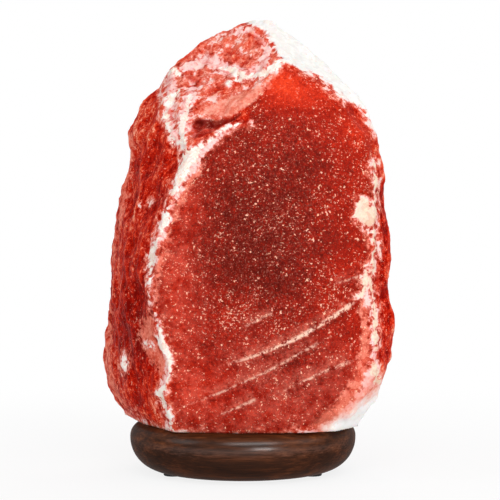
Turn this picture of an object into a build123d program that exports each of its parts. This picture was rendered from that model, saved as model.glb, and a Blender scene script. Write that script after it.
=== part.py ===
from build123d import *

import os
from math import cos, degrees, radians, sin
from random import Random

# Salt crystal lamp: a rough block of rock salt, sawn flat underneath and screwed to a turned
# wooden base. A small screw lamp holder with a pygmy bulb stands in a hole drilled up into the
# salt, and a bent spring clip holds it there. Millimetres, +Z up, front towards -Y. The origin
# is at floor level on the axis of the wooden base.

# ---- driving dimensions: base and feet ----
base_radius = 57.0
base_thickness = 24.0
rim_top_round = 7.0
underside_round = 16.5
foot_height = 1.0
foot_radius = 5.0
foot_recess = 0.8
foot_edge_chamfer = 0.3
foot_pitch_radius = 38.5
foot_angles = (27, 153, 207, 333)

# ---- driving dimensions: hole for the holder, and cord channel ----
bore_radius = 23.0
bore_mouth_chamfer = 1.5
bore_depth_in_salt = 112.0
drill_point_height = 8.0
drill_tip_radius = 7.0
channel_width = 9.0
channel_depth = 8.0

# ---- driving dimensions: fixing screws ----
screw_pitch_radius = 33.5
screw_angles = (0, 180, 270)
screw_length = 38.0
screw_shank_radius = 2.0
screw_tip_length = 4.0
screw_head_radius = 4.0
screw_head_height = 2.6
screw_slot_width = 1.0
screw_slot_depth = 1.2
screw_hole_radius = 2.3
washer_radius = 5.0
washer_thickness = 1.0
head_pocket_radius = 5.6
head_pocket_depth = 6.0
plug_radius = 4.0
plug_length = 26.0
plug_hole_length = 30.0

# ---- driving dimensions: spring clip and its fastening ----
clip_bottom = 9.0
clip_thickness = 0.8
clip_width = 12.0
clip_reach = 21.9
clip_flat_reach = 13.0
clip_shoulder_height = 12.0
clip_arm_top = 27.0
clip_hook_reach = 15.5
clip_bend_radius = 2.5
nipple_radius = 4.9
nipple_wall = 1.0
nipple_top = 17.0
nipple_thread_showing = 0.5
nut_thickness = 2.6
nut_across_flats = 14.0
washer_ring_radius = 7.5
washer_ring_thickness = 0.7
bush_flange_radius = 5.8
bush_flange_thickness = 1.0
bush_wall = 0.7
bush_length = 7.0

# ---- driving dimensions: lamp holder ----
cap_height = 13.0
cap_radius = 13.5
cap_foot_radius = 10.5
cap_floor = 3.0
cap_cone = 1.5
holder_wall = 1.8
insert_flange_thickness = 2.0
insert_thickness = 5.0
insert_boss_radius = 9.0
insert_boss_height = 2.0
insert_clearance = 0.1
sleeve_height = 27.2
sleeve_radius = 12.6
sleeve_mouth_radius = 9.4
sleeve_lip = 1.4
sleeve_skirt = 5.0
sleeve_skirt_slope = 1.0
shell_radius = 7.4
shell_wall = 0.35
shell_height = 19.0
contact_thickness = 0.4
contact_width = 4.0
contact_lift = 3.4
contact_gap = 0.02
contact_bend = -1.0
contact_nose = 2.0
contact_tip = -1.5
side_contact_rise = 5.0
rivet_offset = -4.8
rivet_radius = 1.0
rivet_head_radius = 1.7
rivet_head_height = 0.7
terminal_offset = 6.2
terminal_plate_size = 4.8
terminal_plate_thickness = 0.8
terminal_screw_radius = 1.3
terminal_screw_bite = 3.0
terminal_head_radius = 2.1
terminal_head_height = 1.6

# ---- driving dimensions: bulb ----
bulb_bottom = 34.0
bulb_length = 54.0
bulb_glass_radius = 11.5
bulb_neck_radius = 7.3
bulb_wall = 0.8
pip_radius = 2.4
pip_height = 1.4
insulator_height = 2.4
insulator_bottom_radius = 3.4
insulator_top_radius = 6.1
bulb_cap_radius = 6.75
bulb_cap_wall = 0.35
bulb_cap_height = 19.0
bulb_cap_bevel = 1.0
bulb_skirt_radius = 8.0
bulb_skirt_height = 4.0
bulb_skirt_slope = 1.8
glass_in_skirt = 2.0
glass_shoulder_radius = 14.0
stem_radius = 2.2
stem_height = 12.0
wire_radius = 0.3
wire_offset = 1.2
wire_bend_radius = 2.0
support_radius = 0.2
filament_radius = 0.25
filament_half_span = 5.5
filament_height = 39.0
filament_rise = 3.0

# ---- heights above the floor that follow from them ----
base_bottom = foot_height
salt_bottom = base_bottom + base_thickness
bore_top = salt_bottom + bore_depth_in_salt
pocket_top = base_bottom + head_pocket_depth
screw_seat = pocket_top - washer_thickness
cap_bottom = clip_bottom + clip_thickness
cap_top = cap_bottom + cap_height
flange_top = cap_top + insert_flange_thickness
insert_top = flange_top + insert_thickness
insert_bottom = cap_top - insert_boss_height
sleeve_top = flange_top + sleeve_height
nut_top = clip_bottom - washer_ring_thickness
nipple_bottom = nut_top - nut_thickness - nipple_thread_showing
nipple_bore_radius = nipple_radius - nipple_wall
side_contact_x = shell_radius + contact_gap + contact_thickness / 2
bulb_cap_bottom = bulb_bottom + pip_height + insulator_height
bulb_cap_top = bulb_cap_bottom + bulb_cap_height
glass_bottom = bulb_cap_top - glass_in_skirt
glass_top = bulb_bottom + bulb_length
stem_top = glass_bottom + stem_height
filament_z = bulb_bottom + filament_height
wire_bottom = bulb_cap_bottom + bulb_cap_bevel

# ---- the rock: how far it reaches at each level above the floor, before it is chipped ----
# level: (left, right, ridge, edge, front, back). Left, right, ridge and edge are X; the ridge is
# the bruised corner between the left side and the front face, and the edge is the corner
# between the front face and the right side. Front and back are Y.
rock_reach = {
    salt_bottom: (-60.0, 55.5, -33.0, 44.0, -49.0, 46.0),
    32.0: (-67.0, 61.5, -34.0, 51.0, -52.0, 51.0),
    42.0: (-71.5, 67.5, -36.0, 59.0, -53.5, 54.0),
    56.0: (-73.0, 73.0, -36.0, 63.0, -54.0, 56.0),
    75.0: (-71.3, 74.0, -41.0, 62.0, -53.5, 57.0),
    95.0: (-69.5, 72.5, -44.0, 61.0, -52.5, 56.0),
    115.0: (-68.0, 71.5, -41.0, 63.0, -51.0, 54.0),
    135.0: (-65.5, 70.0, -35.0, 63.5, -49.0, 52.0),
    155.0: (-62.0, 68.5, -27.0, 62.0, -46.0, 49.0),
    172.0: (-60.5, 65.0, -22.0, 58.0, -40.0, 46.0),
    186.0: (-53.0, 59.0, -18.0, 50.0, -35.0, 42.0),
    198.0: (-43.5, 50.0, -14.0, 40.0, -31.0, 36.0),
    209.0: (-33.0, 39.0, -10.0, 30.0, -27.0, 28.0),
    218.0: (-22.5, 29.0, -8.0, 20.0, -22.0, 20.0),
    228.0: (-10.5, 13.0, -4.0, 9.0, -12.0, 11.0),
}
full_depth = 111.0
left_point_depth = 28.0
right_point_depth = -26.0
ridge_set_back = 5.0

# Flat cleavage faces, each by three points on it, counter-clockwise as seen from outside.
cap_face = ((-26, -47, 155), (21, -30, 203), (-32, 5, 205))
sunlit_face = ((21, -30, 203), (66, -40, 168), (37, 5, 215))
rear_cap_face = ((-40, 34, 190), (0, 8, 228), (35, 40, 186))
rear_left_face = ((-72, 30, 40), (-66, 34, 130), (-30, 56, 70))
cleavage_faces = (cap_face, sunlit_face, rear_cap_face, rear_left_face)

# Large shell-shaped chips: the centre of a ball that bites into the flank, and its radius.
large_chips = (
    ((-94, -8, 70), 32),
    ((-90, -10, 108), 30),
    ((-84, -8, 145), 30),
    ((-88, 36, 160), 34),
    ((-74, -24, 182), 26),
    ((105, 20, 92), 36),
    ((99, 6, 150), 36),
    ((20, 96, 120), 44),
    ((-42, 90, 168), 42),
)

# Flakes that split off the front along its cleavage: where the hollow is deepest and where it
# runs out to nothing, how far the edge between them sags, its low point, and its depth. The
# points are (x, z) as seen from the front. The last one undercuts the brow.
flakes = (
    ((76, 100), (-13, 57.5), 4.3, (76, 72), 1.6),
    ((40, 71), (-33.5, 37), 2.5, (28, 54), 1.1),
    ((76, 71), (16.5, 44), -1.0, (76, 52), 1.1),
    ((7, 42.5), (-12, 34), 0.2, (4, 33), 0.9),
    ((-24.5, 176), (-1.5, 179), 1.0, (-21, 166), 4.0),
)

# Rows of smaller chips all round the rough sides and the cap. Bearings go round the axis from 0
# at the right by 90 at the back to 180 at the left. The smooth front face has none.
chip_ball_radius = 34.0
chip_least_depth = 1.3
chip_most_depth = 2.8
chip_row_levels = (47, 69, 91, 113, 135, 157, 178, 194, 208)
chip_bearing_step = 25.0
chip_bearing_scatter = 4.0
chip_level_scatter = 4.0
chip_pattern = 5
rough_from = -20.0
rough_to = 222.0
cap_level = 170.0
cap_rough_to = 272.0
chip_allowance = 0.7

upright = (Align.CENTER, Align.CENTER, Align.MIN)


def rock_corners(left, right, ridge, edge, front, back):
    """Twelve corners of the rock at one level, round from the ridge by the front to the left."""
    depth = (back - front) / full_depth
    left_y = left_point_depth * depth
    right_y = right_point_depth * depth
    left -= chip_allowance
    right += chip_allowance
    back += chip_allowance
    ridge_y = front + ridge_set_back
    return [
        (ridge, ridge_y),
        (0.6 * ridge + 0.4 * edge, front),
        (0.2 * ridge + 0.8 * edge, front + 2),
        (edge, front + 10 * depth),
        (right, right_y),
        (0.95 * right, 22 * depth),
        (0.62 * right, back - 12 * depth),
        (0.15 * right, back),
        (0.45 * left, back - 3 * depth),
        (0.84 * left, back - 16 * depth),
        (left, left_y),
        (0.6 * left + 0.4 * ridge, 0.45 * left_y + 0.55 * ridge_y),
    ]


def face_plane(first, second, third):
    """The plane through three points, facing out of the rock."""
    across = Vector(*second) - Vector(*first)
    along = Vector(*third) - Vector(*first)
    return Plane(origin=first, z_dir=across.cross(along))


def front_of(rock, x, z):
    """Where the front of the rock is, at a point that is seen from the front."""
    return rock.find_intersection_points(Axis((x, -full_depth, z), (0, 1, 0)))[0][0]


def broken_flake(rock, deep_end, shallow_end, sag, low_point, depth):
    """A flake off the front: what a copy of the rock, tilted back a little, leaves of a prism."""
    x, z = shallow_end
    hinge = Vector(low_point[0] - x, 0, low_point[1] - z)
    reach = Vector(deep_end[0] - x, 0, deep_end[1] - z)
    tilt = degrees(depth * hinge.length / hinge.cross(reach).Y)
    hinge_line = Axis(front_of(rock, x, z), hinge)
    middle = ((deep_end[0] + shallow_end[0]) / 2, (deep_end[1] + shallow_end[1]) / 2 - sag)
    with BuildPart() as flake:
        with BuildSketch(Plane.XZ):
            with BuildLine():
                ThreePointArc(deep_end, middle, shallow_end)
                Polyline(shallow_end, low_point, deep_end)
            make_face()
        extrude(amount=full_depth)
        add(rock.rotate(hinge_line, tilt), mode=Mode.SUBTRACT)
    return flake.part


def chip_centres(rock):
    """Centres of the balls that chip the rough sides, in rows that are set half a step apart."""
    hammer = Random(chip_pattern)
    centres = []
    for row, row_level in enumerate(chip_row_levels):
        bearing = rough_from + chip_bearing_step / 2 * (row % 2)
        row_end = cap_rough_to if row_level > cap_level else rough_to
        while bearing < row_end:
            turn = radians(bearing + hammer.uniform(-chip_bearing_scatter, chip_bearing_scatter))
            level = row_level + hammer.uniform(-chip_level_scatter, chip_level_scatter)
            outward_line = Axis((0, 0, level), (cos(turn), sin(turn), 0))
            place, outward = rock.find_intersection_points(outward_line)[-1]
            depth = hammer.uniform(chip_least_depth, chip_most_depth)
            centres.append(place + outward * (chip_ball_radius - depth))
            bearing += chip_bearing_step
    return centres


def on_circle(radius, angles, height):
    """One upright location for each angle on a circle round the axis."""
    return [
        Location((radius * cos(radians(a)), radius * sin(radians(a)), height)) for a in angles
    ]


def rod(radius, bottom, height, mode=Mode.ADD):
    """A round rod on the axis, or a hole for one."""
    with Locations((0, 0, bottom)):
        Cylinder(radius, height, align=upright, mode=mode)


def turned_outline(*points):
    """The closed outline of a turned piece, from its (radius, height) points."""
    with BuildSketch(Plane.XZ) as outline:
        with BuildLine():
            Polyline(*points, close=True)
        make_face()
    return outline.sketch


def strip_outline(thickness, bend_radius, *path):
    """The edge view of a sheet metal strip, bent along a path of (x, z) points."""
    with BuildSketch(Plane.XZ) as outline:
        with BuildLine():
            FilletPolyline(*path, radius=bend_radius)
        trace(line_width=thickness)
    return outline.sketch


def glass_outline(inset):
    """Half of the bulb's pear-shaped section: a globe and a neck, blended into each other."""
    globe_z = glass_top - bulb_glass_radius
    with BuildSketch(Plane.XZ) as outline:
        with Locations((0, globe_z)):
            Circle(bulb_glass_radius - inset)
        with Locations((0, glass_bottom)):
            Rectangle(
                2 * (bulb_neck_radius - inset),
                globe_z - glass_bottom,
                align=(Align.CENTER, Align.MIN),
            )
        fillet(outline.vertices().group_by(Axis.Y)[1], glass_shoulder_radius + inset)
        with Locations((0, glass_bottom)):
            Rectangle(
                bulb_glass_radius,
                bulb_length,
                align=(Align.MIN, Align.MIN),
                mode=Mode.INTERSECT,
            )
    return outline.sketch


# ---- the rock ----
with BuildPart() as salt_crystal:
    for level, reach in rock_reach.items():
        with BuildSketch(Plane.XY.offset(level)):
            with BuildLine():
                Polyline(*rock_corners(*reach), close=True)
            make_face()
    loft(ruled=True)
    for face in cleavage_faces:
        split(bisect_by=face_plane(*face), keep=Keep.BOTTOM)
    for flake in flakes:
        add(broken_flake(salt_crystal.part, *flake), mode=Mode.SUBTRACT)
    for centre, radius in large_chips:
        with Locations(centre):
            Sphere(radius, mode=Mode.SUBTRACT)
    for centre in chip_centres(salt_crystal.part):
        with Locations(centre):
            Sphere(chip_ball_radius, mode=Mode.SUBTRACT)
    rod(bore_radius, salt_bottom, bore_depth_in_salt, Mode.SUBTRACT)
    with Locations((0, 0, bore_top)):
        Cone(bore_radius, drill_tip_radius, drill_point_height, align=upright, mode=Mode.SUBTRACT)
    with Locations(on_circle(screw_pitch_radius, screw_angles, salt_bottom)):
        Cylinder(plug_radius, plug_hole_length, align=upright, mode=Mode.SUBTRACT)

# ---- the turned base ----
with BuildPart() as wood_base:
    with BuildSketch(Plane.XZ):
        with Locations((bore_radius, base_bottom)):
            Rectangle(base_radius - bore_radius, base_thickness, align=(Align.MIN, Align.MIN))
        fillet(vertices().group_by(Axis.Y)[0].sort_by(Axis.X)[-1], underside_round)
        fillet(vertices().group_by(Axis.Y)[-1].sort_by(Axis.X)[-1], rim_top_round)
        chamfer(vertices().group_by(Axis.Y)[0].sort_by(Axis.X)[0], bore_mouth_chamfer)
    revolve(axis=Axis.Z)
    # the cord channel is open underneath and runs from the hole out of the back of the rim
    with BuildSketch(Plane.XZ):
        with Locations((0, base_bottom)):
            SlotOverall(2 * channel_depth, channel_width, rotation=90)
    extrude(amount=-base_radius, mode=Mode.SUBTRACT)
    with Locations(on_circle(screw_pitch_radius, screw_angles, base_bottom)):
        Cylinder(head_pocket_radius, head_pocket_depth, align=upright, mode=Mode.SUBTRACT)
        Cylinder(screw_hole_radius, base_thickness, align=upright, mode=Mode.SUBTRACT)
    with Locations(on_circle(foot_pitch_radius, foot_angles, base_bottom)):
        Cylinder(foot_radius, foot_recess, align=upright, mode=Mode.SUBTRACT)

with BuildPart() as feet:
    with Locations(on_circle(foot_pitch_radius, foot_angles, 0)):
        Cylinder(foot_radius, foot_height + foot_recess, align=upright)
    chamfer(feet.edges().group_by(Axis.Z)[0], foot_edge_chamfer)

# ---- what fastens the rock to the base ----
with BuildPart() as wall_plugs:
    with Locations(on_circle(screw_pitch_radius, screw_angles, salt_bottom)):
        Cylinder(plug_radius, plug_length, align=upright)
        Cylinder(screw_shank_radius, plug_length, align=upright, mode=Mode.SUBTRACT)

with BuildPart() as screw_washers:
    with Locations(on_circle(screw_pitch_radius, screw_angles, screw_seat)):
        Cylinder(washer_radius, washer_thickness, align=upright)
        Cylinder(screw_hole_radius, washer_thickness, align=upright, mode=Mode.SUBTRACT)

with BuildPart() as base_screws:
    shank_length = screw_length - screw_tip_length
    with Locations(on_circle(screw_pitch_radius, screw_angles, screw_seat)):
        Cylinder(screw_shank_radius, shank_length, align=upright)
    with Locations(on_circle(screw_pitch_radius, screw_angles, screw_seat + shank_length)):
        Cone(screw_shank_radius, screw_shank_radius / 4, screw_tip_length, align=upright)
    head_bottom = screw_seat - screw_head_height
    with Locations(on_circle(screw_pitch_radius, screw_angles, head_bottom)):
        Cylinder(screw_head_radius, screw_head_height, align=upright)
    chamfer(base_screws.edges().group_by(Axis.Z)[0], screw_head_height / 2)
    with Locations(on_circle(screw_pitch_radius, screw_angles, head_bottom)):
        for length, width in (
            (screw_head_radius, screw_slot_width),
            (screw_slot_width, screw_head_radius),
        ):
            Box(length, width, screw_slot_depth, align=upright, mode=Mode.SUBTRACT)

# ---- spring clip, and what fastens it to the holder ----
with BuildPart() as spring_clip:
    middle = clip_bottom + clip_thickness / 2
    arm_x = clip_reach - clip_thickness / 2
    clip_outline = strip_outline(
        clip_thickness,
        clip_bend_radius,
        (-clip_hook_reach, middle + clip_arm_top),
        (-arm_x, middle + clip_shoulder_height),
        (-clip_flat_reach, middle),
        (clip_flat_reach, middle),
        (arm_x, middle + clip_shoulder_height),
        (clip_hook_reach, middle + clip_arm_top),
    )
    extrude(clip_outline, amount=clip_width / 2, both=True)
    rod(nipple_radius, clip_bottom, clip_thickness, Mode.SUBTRACT)

with BuildPart() as nipple:
    rod(nipple_radius, nipple_bottom, nipple_top - nipple_bottom)
    rod(nipple_bore_radius, nipple_bottom, nipple_top - nipple_bottom, Mode.SUBTRACT)

with BuildPart() as cord_bush:
    bush_top = nipple_bottom + bush_length
    rod(bush_flange_radius, nipple_bottom - bush_flange_thickness, bush_flange_thickness)
    rod(nipple_bore_radius, nipple_bottom, bush_length)
    rod(
        nipple_bore_radius - bush_wall,
        nipple_bottom - bush_flange_thickness,
        bush_length + bush_flange_thickness,
        Mode.SUBTRACT,
    )
    chamfer(cord_bush.edges().group_by(Axis.Z)[0].sort_by(SortBy.RADIUS)[0], bush_wall / 2)

with BuildPart() as nipple_nut:
    with BuildSketch(Plane.XY.offset(nut_top - nut_thickness)):
        RegularPolygon(nut_across_flats / 2, 6, major_radius=False)
        Circle(nipple_radius, mode=Mode.SUBTRACT)
    extrude(amount=nut_thickness)

with BuildPart() as lock_washer:
    rod(washer_ring_radius, nut_top, washer_ring_thickness)
    rod(nipple_radius, nut_top, washer_ring_thickness, Mode.SUBTRACT)

# ---- lamp holder ----
with BuildPart() as holder_cap:
    cap_inner = cap_radius - holder_wall
    outline = turned_outline(
        (nipple_radius, cap_bottom),
        (cap_foot_radius, cap_bottom),
        (cap_radius, cap_bottom + cap_floor),
        (cap_radius, cap_top),
        (cap_inner, cap_top),
        (cap_inner, cap_bottom + cap_floor + cap_cone),
        (cap_inner - cap_cone, cap_bottom + cap_floor),
        (nipple_radius, cap_bottom + cap_floor),
    )
    revolve(outline, axis=Axis.Z)

with BuildPart() as holder_insert:
    rod(insert_boss_radius, insert_bottom, insert_boss_height)
    rod(cap_radius, cap_top, insert_flange_thickness)
    rod(sleeve_radius - holder_wall - insert_clearance, flange_top, insert_thickness)
    with Locations((0, terminal_offset, insert_bottom), (0, -terminal_offset, insert_bottom)):
        Cylinder(terminal_screw_radius, terminal_screw_bite, align=upright, mode=Mode.SUBTRACT)
    with Locations((rivet_offset, 0, insert_bottom)):
        Cylinder(rivet_radius, insert_top - insert_bottom, align=upright, mode=Mode.SUBTRACT)
    with Locations((side_contact_x, 0, insert_bottom)):
        Box(
            contact_thickness,
            contact_width,
            insert_top - insert_bottom,
            align=upright,
            mode=Mode.SUBTRACT,
        )

with BuildPart() as holder_sleeve:
    sleeve_inner = sleeve_radius - holder_wall
    outline = turned_outline(
        (cap_radius, flange_top),
        (cap_radius, flange_top + sleeve_skirt),
        (sleeve_radius, flange_top + sleeve_skirt + sleeve_skirt_slope),
        (sleeve_radius, sleeve_top - sleeve_lip),
        (sleeve_radius - sleeve_lip, sleeve_top),
        (sleeve_mouth_radius, sleeve_top),
        (sleeve_mouth_radius, sleeve_top - sleeve_lip),
        (sleeve_inner, sleeve_top - sleeve_lip),
        (sleeve_inner, flange_top),
    )
    revolve(outline, axis=Axis.Z)

with BuildPart() as screw_shell:
    rod(shell_radius, insert_top, shell_height)
    rod(shell_radius - shell_wall, insert_top, shell_height, Mode.SUBTRACT)

with BuildPart() as centre_contact:
    strip_z = insert_top + contact_thickness / 2
    contact_outline = strip_outline(
        contact_thickness,
        contact_thickness,
        (rivet_offset - contact_width / 2, strip_z),
        (contact_bend, strip_z),
        (contact_nose, strip_z + contact_lift),
        (contact_tip, strip_z + contact_lift),
    )
    extrude(contact_outline, amount=contact_width / 2, both=True)
    with Locations((rivet_offset, 0, insert_top)):
        Cylinder(rivet_radius, contact_thickness, align=upright, mode=Mode.SUBTRACT)

with BuildPart() as side_contact:
    with Locations((side_contact_x, 0, insert_bottom)):
        Box(
            contact_thickness,
            contact_width,
            insert_top + side_contact_rise - insert_bottom,
            align=upright,
        )

with BuildPart() as contact_rivet:
    shank_bottom = insert_bottom - rivet_head_height
    strip_top = insert_top + contact_thickness
    with Locations((rivet_offset, 0, shank_bottom)):
        Cylinder(rivet_head_radius, rivet_head_height, align=upright)
    with Locations((rivet_offset, 0, insert_bottom)):
        Cylinder(rivet_radius, strip_top - insert_bottom, align=upright)
    with Locations((rivet_offset, 0, strip_top)):
        Cylinder(rivet_head_radius, rivet_head_height, align=upright)

with BuildPart() as terminal_plates:
    plate_bottom = insert_bottom - terminal_plate_thickness
    with Locations((0, terminal_offset, plate_bottom), (0, -terminal_offset, plate_bottom)):
        Box(terminal_plate_size, terminal_plate_size, terminal_plate_thickness, align=upright)
        Cylinder(
            terminal_screw_radius, terminal_plate_thickness, align=upright, mode=Mode.SUBTRACT
        )

with BuildPart() as terminal_screws:
    head_bottom = plate_bottom - terminal_head_height
    bite = terminal_plate_thickness + terminal_screw_bite
    with Locations((0, terminal_offset, plate_bottom), (0, -terminal_offset, plate_bottom)):
        Cylinder(terminal_screw_radius, bite, align=upright)
    with Locations((0, terminal_offset, head_bottom), (0, -terminal_offset, head_bottom)):
        Cylinder(terminal_head_radius, terminal_head_height, align=upright)
        Box(
            2 * terminal_head_radius,
            screw_slot_width / 2,
            terminal_head_height / 2,
            align=upright,
            mode=Mode.SUBTRACT,
        )

# ---- bulb ----
with BuildPart() as cap_contact:
    rod(pip_radius, bulb_bottom, pip_height)
    chamfer(cap_contact.edges().group_by(Axis.Z)[0], pip_height / 2)

with BuildPart() as cap_insulator:
    outline = turned_outline(
        (0, bulb_bottom + pip_height),
        (insulator_bottom_radius, bulb_bottom + pip_height),
        (insulator_top_radius, bulb_cap_bottom),
        (0, bulb_cap_bottom),
    )
    revolve(outline, axis=Axis.Z)

with BuildPart() as bulb_cap:
    skirt_bottom = bulb_cap_top - bulb_skirt_height
    outline = turned_outline(
        (insulator_top_radius, bulb_cap_bottom),
        (bulb_cap_radius, bulb_cap_bottom + bulb_cap_bevel),
        (bulb_cap_radius, skirt_bottom),
        (bulb_skirt_radius, skirt_bottom + bulb_skirt_slope),
        (bulb_skirt_radius, bulb_cap_top),
        (bulb_skirt_radius - bulb_cap_wall, bulb_cap_top),
        (bulb_skirt_radius - bulb_cap_wall, skirt_bottom + bulb_skirt_slope),
        (bulb_cap_radius - bulb_cap_wall, skirt_bottom),
        (bulb_cap_radius - bulb_cap_wall, bulb_cap_bottom + bulb_cap_bevel),
        (insulator_top_radius - bulb_cap_wall, bulb_cap_bottom),
    )
    revolve(outline, axis=Axis.Z)

with BuildPart() as bulb_glass:
    revolve(glass_outline(0), axis=Axis.Z)
    revolve(glass_outline(bulb_wall), axis=Axis.Z, mode=Mode.SUBTRACT)

with BuildPart() as bulb_stem:
    flare_radius = bulb_neck_radius - bulb_wall - insert_clearance
    outline = turned_outline(
        (0, glass_bottom),
        (flare_radius, glass_bottom),
        (flare_radius, glass_bottom + bulb_wall),
        (stem_radius, glass_bottom + stem_height / 3),
        (stem_radius, stem_top),
        (0, stem_top),
    )
    revolve(outline, axis=Axis.Z)

with BuildPart() as lead_wires:
    for side in (-1, 1):
        with BuildLine(Plane.XZ):
            FilletPolyline(
                (side * wire_offset, wire_bottom),
                (side * wire_offset, stem_top),
                (side * filament_half_span, filament_z),
                radius=wire_bend_radius,
            )
        with BuildSketch(Plane.XY.offset(wire_bottom)):
            with Locations((side * wire_offset, 0)):
                Circle(wire_radius)
        sweep()

with BuildPart() as support_wire:
    rod(support_radius, stem_top, filament_z + filament_rise - stem_top)

with BuildPart() as filament:
    with BuildLine(Plane.XZ) as droop:
        ThreePointArc(
            (-filament_half_span, filament_z),
            (0, filament_z + filament_rise),
            (filament_half_span, filament_z),
        )
    with BuildSketch(Plane(origin=droop.line @ 0, z_dir=droop.line % 0)):
        Circle(filament_radius)
    sweep()

pieces = {
    "salt_crystal": salt_crystal,
    "wood_base": wood_base,
    "feet": feet,
    "wall_plugs": wall_plugs,
    "screw_washers": screw_washers,
    "base_screws": base_screws,
    "spring_clip": spring_clip,
    "nipple": nipple,
    "cord_bush": cord_bush,
    "nipple_nut": nipple_nut,
    "lock_washer": lock_washer,
    "holder_cap": holder_cap,
    "holder_insert": holder_insert,
    "holder_sleeve": holder_sleeve,
    "screw_shell": screw_shell,
    "centre_contact": centre_contact,
    "side_contact": side_contact,
    "contact_rivet": contact_rivet,
    "terminal_plates": terminal_plates,
    "terminal_screws": terminal_screws,
    "cap_contact": cap_contact,
    "cap_insulator": cap_insulator,
    "bulb_cap": bulb_cap,
    "bulb_glass": bulb_glass,
    "bulb_stem": bulb_stem,
    "lead_wires": lead_wires,
    "support_wire": support_wire,
    "filament": filament,
}

os.makedirs("parts", exist_ok=True)
for name, piece in pieces.items():
    piece.part.label = name
    export_step(piece.part, f"parts/{name}.step")
    print(f"{name}: {len(piece.solids())} solids, {piece.part.volume:.1f} mm3")
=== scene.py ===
# %% [markdown]
# # A salt crystal lamp
# A rough block of red rock salt stands on a turned wooden base. A small screw lamp holder hides
# in a hole drilled up into the salt, held by a spring clip. The measured solids come first, as a
# frame. Everything after that is finish: the rock gets its broken surface, its white bruises and
# its grain, and each small part gets the metal, plastic, ceramic or glass that it is made of.

from math import atan2, cos, pi, radians, sin

import bmesh
import bpy
import numpy as np
from mathutils import Matrix, Vector, noise


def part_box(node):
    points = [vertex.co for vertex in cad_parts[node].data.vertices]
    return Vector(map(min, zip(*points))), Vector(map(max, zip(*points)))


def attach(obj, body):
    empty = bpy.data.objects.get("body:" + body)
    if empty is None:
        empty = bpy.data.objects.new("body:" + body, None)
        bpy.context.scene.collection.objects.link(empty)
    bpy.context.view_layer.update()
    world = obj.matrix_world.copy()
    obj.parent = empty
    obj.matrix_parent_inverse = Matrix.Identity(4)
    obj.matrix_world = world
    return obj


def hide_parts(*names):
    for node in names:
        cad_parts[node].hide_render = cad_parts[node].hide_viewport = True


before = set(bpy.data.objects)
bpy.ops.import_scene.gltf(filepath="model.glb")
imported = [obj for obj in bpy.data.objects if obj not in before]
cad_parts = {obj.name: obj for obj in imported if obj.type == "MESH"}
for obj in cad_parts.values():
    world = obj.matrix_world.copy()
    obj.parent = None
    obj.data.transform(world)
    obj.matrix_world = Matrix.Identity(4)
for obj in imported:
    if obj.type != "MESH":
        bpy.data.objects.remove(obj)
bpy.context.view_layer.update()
mm = 0.001
salt_low, salt_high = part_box("salt_crystal")
print("rock box in metres:", [round(v, 4) for v in (*salt_low, *salt_high)])

# %% [markdown]
# ## The camera
# The lamp is looked at from nearly straight ahead, a little above the middle of the rock. The
# field of view is worked out from the distance and from how much of the scene is in view.

# %% Camera
camera_distance = 850 * mm
camera_tilt = radians(1.5)
look_at = Vector((3.6 * mm, 0, 111.5 * mm))
half_view = 126.4 * mm

camera_data = bpy.data.cameras.new("front_camera")
camera_data.sensor_width = 36
camera_data.lens = camera_data.sensor_width * camera_distance / (2 * half_view)
camera = bpy.data.objects.new("front_camera", camera_data)
camera.location = look_at + camera_distance * Vector((0, -cos(camera_tilt), sin(camera_tilt)))
camera.rotation_euler = (radians(90) - camera_tilt, 0, 0)
bpy.context.scene.collection.objects.link(camera)
bpy.context.scene.camera = camera
print("lens in mm:", round(camera_data.lens, 2))

# %% [markdown]
# ## Writing shader maths as sums
# A material is a graph of nodes. Wiring dozens of Math nodes by hand is hard to read, so one
# small class stands for an output socket, and adding or multiplying two of them adds the node.

# %% A socket that can be added and multiplied
class Wire:
    """One output of a node. An expression on wires adds the Math nodes that work it out."""

    def __init__(self, finish, socket):
        self.finish = finish
        self.socket = socket

    def __add__(self, other):
        return self.finish.math("ADD", self, other)

    def __radd__(self, other):
        return self.finish.math("ADD", other, self)

    def __sub__(self, other):
        return self.finish.math("SUBTRACT", self, other)

    def __rsub__(self, other):
        return self.finish.math("SUBTRACT", other, self)

    def __mul__(self, other):
        return self.finish.math("MULTIPLY", self, other)

    def __rmul__(self, other):
        return self.finish.math("MULTIPLY", other, self)

    def __truediv__(self, other):
        return self.finish.math("DIVIDE", self, other)

    def __rtruediv__(self, other):
        return self.finish.math("DIVIDE", other, self)

    def __abs__(self):
        return self.finish.math("ABSOLUTE", self)


# %% A material that hands out wires
class Finish:
    """A material being made, with one method that adds any node."""

    def __init__(self, name):
        self.material = bpy.data.materials.new(name)
        self.material.use_nodes = True
        self.tree = self.material.node_tree
        self.surface = self.tree.nodes["Principled BSDF"]

    def feed(self, socket, value):
        """Link a wire to a socket, or set the socket to a value."""
        if isinstance(value, Wire):
            self.tree.links.new(value.socket, socket)
        else:
            socket.default_value = value

    def node(self, kind, settings, inputs, output=0):
        """Add a node of this type, set it up, feed its sockets and return one of its outputs."""
        node = self.tree.nodes.new(kind)
        for key, value in settings.items():
            if key == "stops":
                ramp = node.color_ramp
                while len(ramp.elements) < len(value):
                    ramp.elements.new(0.5)
                for element, (position, colour) in zip(ramp.elements, value):
                    element.position = position
                    element.color = colour
            else:
                setattr(node, key, value)
        for key, value in inputs.items():
            self.feed(node.inputs[key], value)
        return None if output is None else Wire(self, node.outputs[output])

    def math(self, operation, *values):
        settings = {"operation": operation}
        return self.node("ShaderNodeMath", settings, dict(enumerate(values)))

    def principled(self, **sockets):
        """Feed the sockets of the surface shader by name, with _ for each space."""
        for key, value in sockets.items():
            self.feed(self.surface.inputs[key.replace("_", " ")], value)


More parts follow.
